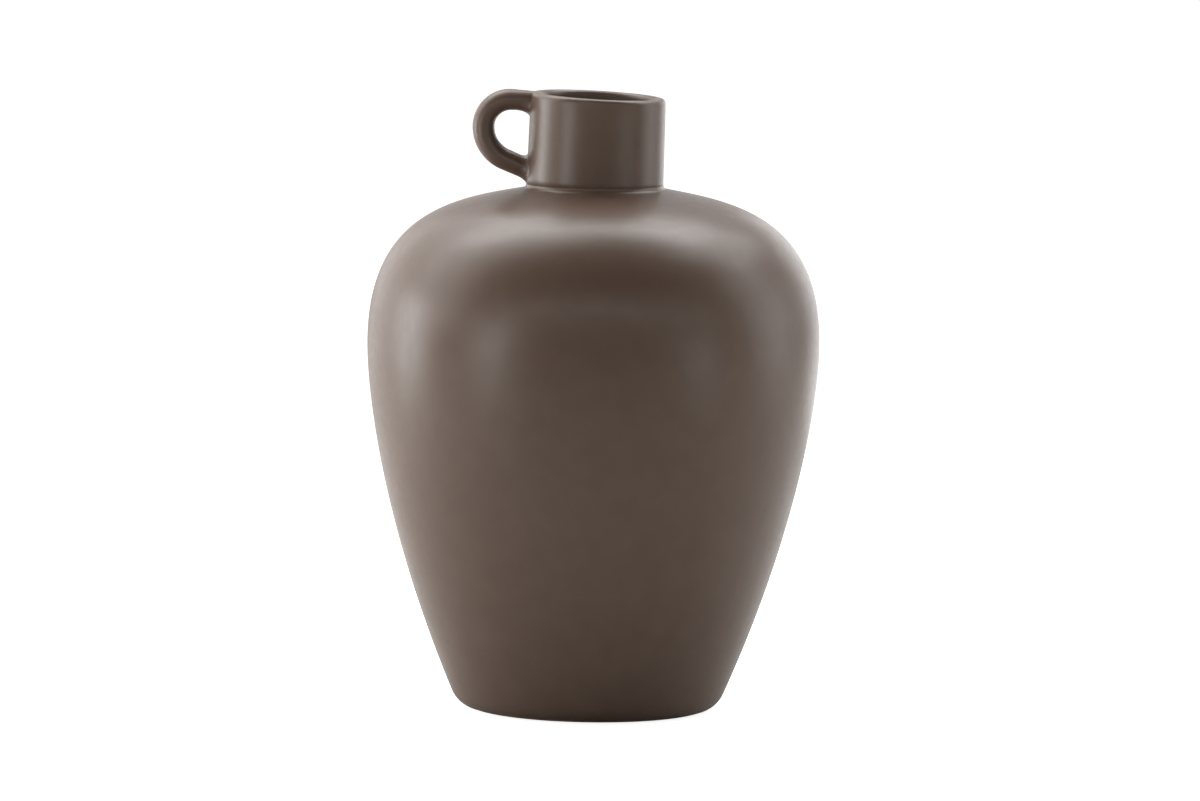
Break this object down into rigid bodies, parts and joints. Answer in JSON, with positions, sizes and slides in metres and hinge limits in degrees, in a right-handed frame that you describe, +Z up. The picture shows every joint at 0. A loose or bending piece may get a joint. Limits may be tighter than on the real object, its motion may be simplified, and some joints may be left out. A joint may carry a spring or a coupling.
{
  "type": "stoneware vase",
  "caption": "Tall egg-shaped stoneware vase with a short straight neck, a small loop handle at the neck and a bare clay foot.",
  "frame": {"origin": "middle of the foot, on the surface that the vase stands on", "axes": "+Z up along the pot's axis; the handle is at -X, so the pictured side faces -Y"},
  "size_m": [0.257, 0.257, 0.3528],
  "materials": {
    "glaze": "satin",
    "bare_clay": "matte"
  },
  "bodies": {
    "root": {"pot_body": "glaze", "foot_ring": "bare_clay", "neck": "glaze", "neck_joint_bead": "glaze", "handle": "glaze", "handle_upper_joint": "glaze", "handle_lower_joint": "glaze"}
  },
  "joints": []
}
